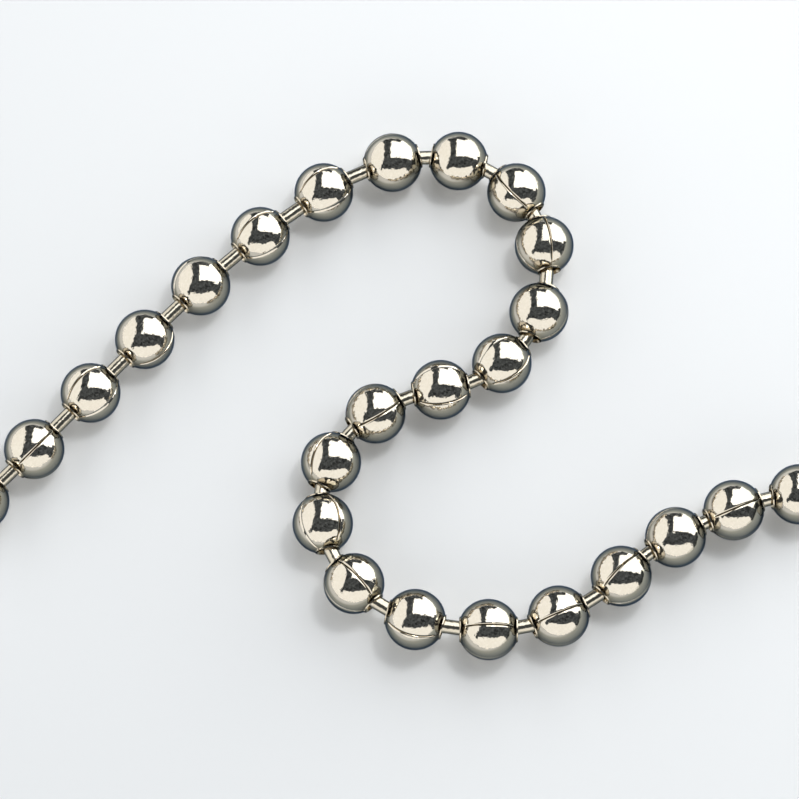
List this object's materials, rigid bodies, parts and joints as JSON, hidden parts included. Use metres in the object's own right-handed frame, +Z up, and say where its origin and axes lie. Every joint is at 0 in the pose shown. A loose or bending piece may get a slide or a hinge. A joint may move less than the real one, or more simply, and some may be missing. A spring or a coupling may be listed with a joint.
{
  "type": "roller blind ball chain",
  "caption": "Length of metal ball chain for a roller blind: hollow split beads that swing on short headed wire links, lying in an S.",
  "frame": {"origin": "centre of the chain's bounding box, on the surface that the beads lie on", "axes": "+X to the right of the picture, +Y away from the camera, +Z up"},
  "size_m": [0.0652, 0.0414, 0.0045],
  "materials": {
    "bead_nickel": "bright nickel plate on pressed steel, warm tone, fine handling marks, dark hairline seam from hole to hole",
    "link_nickel": "bright nickel plate on drawn steel wire, slightly duller than the beads"
  },
  "bodies": {
    "bead_01": {"bead_01": "bead_nickel"},
    "bead_02": {"bead_02": "bead_nickel"},
    "bead_03": {"bead_03": "bead_nickel"},
    "bead_04": {"bead_04": "bead_nickel"},
    "bead_05": {"bead_05": "bead_nickel"},
    "bead_06": {"bead_06": "bead_nickel"},
    "bead_07": {"bead_07": "bead_nickel"},
    "bead_08": {"bead_08": "bead_nickel"},
    "bead_09": {"bead_09": "bead_nickel"},
    "bead_10": {"bead_10": "bead_nickel"},
    "bead_11": {"bead_11": "bead_nickel"},
    "bead_12": {"bead_12": "bead_nickel"},
    "bead_13": {"bead_13": "bead_nickel"},
    "bead_14": {"bead_14": "bead_nickel"},
    "bead_15": {"bead_15": "bead_nickel"},
    "bead_16": {"bead_16": "bead_nickel"},
    "bead_17": {"bead_17": "bead_nickel"},
    "bead_18": {"bead_18": "bead_nickel"},
    "bead_19": {"bead_19": "bead_nickel"},
    "bead_20": {"bead_20": "bead_nickel"},
    "bead_21": {"bead_21": "bead_nickel"},
    "bead_22": {"bead_22": "bead_nickel"},
    "bead_23": {"bead_23": "bead_nickel"},
    "bead_24": {"bead_24": "bead_nickel"},
    "bead_25": {"bead_25": "bead_nickel"},
    "link_01": {"link_01": "link_nickel"},
    "link_02": {"link_02": "link_nickel"},
    "link_03": {"link_03": "link_nickel"},
    "link_04": {"link_04": "link_nickel"},
    "link_05": {"link_05": "link_nickel"},
    "link_06": {"link_06": "link_nickel"},
    "link_07": {"link_07": "link_nickel"},
    "link_08": {"link_08": "link_nickel"},
    "link_09": {"link_09": "link_nickel"},
    "link_10": {"link_10": "link_nickel"},
    "link_11": {"link_11": "link_nickel"},
    "link_12": {"link_12": "link_nickel"},
    "link_13": {"link_13": "link_nickel"},
    "link_14": {"link_14": "link_nickel"},
    "link_15": {"link_15": "link_nickel"},
    "link_16": {"link_16": "link_nickel"},
    "link_17": {"link_17": "link_nickel"},
    "link_18": {"link_18": "link_nickel"},
    "link_19": {"link_19": "link_nickel"},
    "link_20": {"link_20": "link_nickel"},
    "link_21": {"link_21": "link_nickel"},
    "link_22": {"link_22": "link_nickel"},
    "link_23": {"link_23": "link_nickel"},
    "link_24": {"link_24": "link_nickel"}
  },
  "joints": [
    {"name": "link_13_turn", "type": "hinge", "parent": "bead_13", "child": "link_13", "pos_m": [0.00738, 0.00123, 0.00225], "axis": [0, 0, 1], "range_deg": [-6, 36]},
    {"name": "bead_14_turn", "type": "hinge", "parent": "link_13", "child": "bead_14", "pos_m": [0.00525, 0.00026, 0.00225], "axis": [0, 0, -1], "range_deg": [-36, 6]},
    {"name": "link_14_turn", "type": "hinge", "parent": "bead_14", "child": "link_14", "pos_m": [0.00249, -0.0002, 0.00225], "axis": [0, 0, 1], "range_deg": [-32.5, 9.5]},
    {"name": "bead_15_turn", "type": "hinge", "parent": "link_14", "child": "bead_15", "pos_m": [0.00015, -0.0011, 0.00225], "axis": [0, 0, -1], "range_deg": [-9.5, 32.5]},
    {"name": "link_15_turn", "type": "hinge", "parent": "bead_15", "child": "link_15", "pos_m": [-0.0022, -0.0026, 0.00225], "axis": [0, 0, 1], "range_deg": [-37.5, 4.5]},
    {"name": "bead_16_turn", "type": "hinge", "parent": "link_15", "child": "bead_16", "pos_m": [-0.00374, -0.00438, 0.00225], "axis": [0, 0, -1], "range_deg": [-4.5, 37.5]},
    {"name": "link_16_turn", "type": "hinge", "parent": "bead_16", "child": "link_16", "pos_m": [-0.0049, -0.00692, 0.00225], "axis": [0, 0, 1], "range_deg": [-38.5, 3.5]},
    {"name": "bead_17_turn", "type": "hinge", "parent": "link_16", "child": "bead_17", "pos_m": [-0.00516, -0.00901, 0.00225], "axis": [0, 0, -1], "range_deg": [-3.5, 38.5]},
    {"name": "link_17_turn", "type": "hinge", "parent": "bead_17", "child": "link_17", "pos_m": [-0.00465, -0.01176, 0.00225], "axis": [0, 0, 1], "range_deg": [-37.5, 4.5]},
    {"name": "bead_18_turn", "type": "hinge", "parent": "link_17", "child": "bead_18", "pos_m": [-0.00354, -0.01395, 0.00225], "axis": [0, 0, -1], "range_deg": [-4.5, 37.5]},
    {"name": "link_18_turn", "type": "hinge", "parent": "bead_18", "child": "link_18", "pos_m": [-0.00161, -0.01598, 0.00225], "axis": [0, 0, 1], "range_deg": [-36.2, 5.8]},
    {"name": "bead_19_turn", "type": "hinge", "parent": "link_18", "child": "bead_19", "pos_m": [0.00057, -0.0173, 0.00225], "axis": [0, 0, -1], "range_deg": [-5.7, 36.3]},
    {"name": "link_19_turn", "type": "hinge", "parent": "bead_19", "child": "link_19", "pos_m": [0.00326, -0.01808, 0.00225], "axis": [0, 0, 1], "range_deg": [-29, 13]},
    {"name": "bead_20_turn", "type": "hinge", "parent": "link_19", "child": "bead_20", "pos_m": [0.00589, -0.01844, 0.00225], "axis": [0, 0, -1], "range_deg": [-13, 29]},
    {"name": "link_20_turn", "type": "hinge", "parent": "bead_20", "child": "link_20", "pos_m": [0.00868, -0.01844, 0.00225], "axis": [0, 0, 1], "range_deg": [-32.2, 9.8]},
    {"name": "bead_21_turn", "type": "hinge", "parent": "link_20", "child": "bead_21", "pos_m": [0.01113, -0.01796, 0.00225], "axis": [0, 0, -1], "range_deg": [-9.7, 32.3]},
    {"name": "link_21_turn", "type": "hinge", "parent": "bead_21", "child": "link_21", "pos_m": [0.01372, -0.01689, 0.00225], "axis": [0, 0, 1], "range_deg": [-31.5, 10.5]},
    {"name": "bead_22_turn", "type": "hinge", "parent": "link_21", "child": "bead_22", "pos_m": [0.01606, -0.01536, 0.00225], "axis": [0, 0, -1], "range_deg": [-10.5, 31.5]},
    {"name": "link_22_turn", "type": "hinge", "parent": "bead_22", "child": "link_22", "pos_m": [0.01809, -0.01344, 0.00225], "axis": [0, 0, 1], "range_deg": [-13.5, 28.5]},
    {"name": "bead_23_turn", "type": "hinge", "parent": "link_22", "child": "bead_23", "pos_m": [0.01992, -0.01211, 0.00225], "axis": [0, 0, -1], "range_deg": [-28.5, 13.5]},
    {"name": "link_23_turn", "type": "hinge", "parent": "bead_23", "child": "link_23", "pos_m": [0.02238, -0.01077, 0.00225], "axis": [0, 0, 1], "range_deg": [-18, 24]},
    {"name": "bead_24_turn", "type": "hinge", "parent": "link_23", "child": "bead_24", "pos_m": [0.02423, -0.00989, 0.00225], "axis": [0, 0, -1], "range_deg": [-24, 18]},
    {"name": "link_24_turn", "type": "hinge", "parent": "bead_24", "child": "link_24", "pos_m": [0.02681, -0.00882, 0.00225], "axis": [0, 0, 1], "range_deg": [-12.5, 29.5]},
    {"name": "bead_25_turn", "type": "hinge", "parent": "link_24", "child": "bead_25", "pos_m": [0.02904, -0.00826, 0.00225], "axis": [0, 0, -1], "range_deg": [-29.5, 12.5]},
    {"name": "link_12_turn", "type": "hinge", "parent": "bead_13", "child": "link_12", "pos_m": [0.00954, 0.00301, 0.00225], "axis": [0, 0, 1], "range_deg": [-36.5, 5.5]},
    {"name": "bead_12_turn", "type": "hinge", "parent": "link_12", "child": "bead_12", "pos_m": [0.01084, 0.00486, 0.00225], "axis": [0, 0, -1], "range_deg": [-5.5, 36.5]},
    {"name": "link_11_turn", "type": "hinge", "parent": "bead_12", "child": "link_11", "pos_m": [0.01177, 0.0075, 0.00225], "axis": [0, 0, 1], "range_deg": [-35.5, 6.5]},
    {"name": "bead_11_turn", "type": "hinge", "parent": "link_11", "child": "bead_11", "pos_m": [0.01201, 0.01019, 0.00225], "axis": [0, 0, -1], "range_deg": [-6.5, 35.5]},
    {"name": "link_10_turn", "type": "hinge", "parent": "bead_11", "child": "link_10", "pos_m": [0.01154, 0.01295, 0.00225], "axis": [0, 0, 1], "range_deg": [-37, 5]},
    {"name": "bead_10_turn", "type": "hinge", "parent": "link_10", "child": "bead_10", "pos_m": [0.01064, 0.01486, 0.00225], "axis": [0, 0, -1], "range_deg": [-5, 37]},
    {"name": "link_09_turn", "type": "hinge", "parent": "bead_10", "child": "link_09", "pos_m": [0.00878, 0.01695, 0.00225], "axis": [0, 0, 1], "range_deg": [-39, 3]},
    {"name": "bead_09_turn", "type": "hinge", "parent": "link_09", "child": "bead_09", "pos_m": [0.00667, 0.01819, 0.00225], "axis": [0, 0, -1], "range_deg": [-3, 39]},
    {"name": "link_08_turn", "type": "hinge", "parent": "bead_09", "child": "link_08", "pos_m": [0.00394, 0.0188, 0.00225], "axis": [0, 0, 1], "range_deg": [-35, 7]},
    {"name": "bead_08_turn", "type": "hinge", "parent": "link_08", "child": "bead_08", "pos_m": [0.00159, 0.01874, 0.00225], "axis": [0, 0, -1], "range_deg": [-7, 35]},
    {"name": "link_07_turn", "type": "hinge", "parent": "bead_08", "child": "link_07", "pos_m": [-0.0011, 0.01799, 0.00225], "axis": [0, 0, 1], "range_deg": [-30.5, 11.5]},
    {"name": "bead_07_turn", "type": "hinge", "parent": "link_07", "child": "bead_07", "pos_m": [-0.00387, 0.0167, 0.00225], "axis": [0, 0, -1], "range_deg": [-11.5, 30.5]},
    {"name": "link_06_turn", "type": "hinge", "parent": "bead_07", "child": "link_06", "pos_m": [-0.00617, 0.01512, 0.00225], "axis": [0, 0, 1], "range_deg": [-23.2, 18.8]},
    {"name": "bead_06_turn", "type": "hinge", "parent": "link_06", "child": "bead_06", "pos_m": [-0.00874, 0.0132, 0.00225], "axis": [0, 0, -1], "range_deg": [-18.7, 23.3]},
    {"name": "link_05_turn", "type": "hinge", "parent": "bead_06", "child": "link_05", "pos_m": [-0.01092, 0.01144, 0.00225], "axis": [0, 0, 1], "range_deg": [-24, 18]},
    {"name": "bead_05_turn", "type": "hinge", "parent": "link_05", "child": "bead_05", "pos_m": [-0.0133, 0.0093, 0.00225], "axis": [0, 0, -1], "range_deg": [-18, 24]},
    {"name": "link_04_turn", "type": "hinge", "parent": "bead_05", "child": "link_04", "pos_m": [-0.01527, 0.00732, 0.00225], "axis": [0, 0, 1], "range_deg": [-22, 20]},
    {"name": "bead_04_turn", "type": "hinge", "parent": "link_04", "child": "bead_04", "pos_m": [-0.01747, 0.00505, 0.00225], "axis": [0, 0, -1], "range_deg": [-20, 22]},
    {"name": "link_03_turn", "type": "hinge", "parent": "bead_04", "child": "link_03", "pos_m": [-0.01937, 0.003, 0.00225], "axis": [0, 0, 1], "range_deg": [-21, 21]},
    {"name": "bead_03_turn", "type": "hinge", "parent": "link_03", "child": "bead_03", "pos_m": [-0.02143, 0.0008, 0.00225], "axis": [0, 0, -1], "range_deg": [-21, 21]},
    {"name": "link_02_turn", "type": "hinge", "parent": "bead_03", "child": "link_02", "pos_m": [-0.02333, -0.00124, 0.00225], "axis": [0, 0, 1], "range_deg": [-21.2, 20.8]},
    {"name": "bead_02_turn", "type": "hinge", "parent": "link_02", "child": "bead_02", "pos_m": [-0.02551, -0.0036, 0.00225], "axis": [0, 0, -1], "range_deg": [-20.7, 21.3]},
    {"name": "link_01_turn", "type": "hinge", "parent": "bead_02", "child": "link_01", "pos_m": [-0.0274, -0.00566, 0.00225], "axis": [0, 0, 1], "range_deg": [-19.2, 22.8]},
    {"name": "bead_01_turn", "type": "hinge", "parent": "link_01", "child": "bead_01", "pos_m": [-0.02939, -0.00771, 0.00225], "axis": [0, 0, -1], "range_deg": [-22.7, 19.3]}
  ]
}
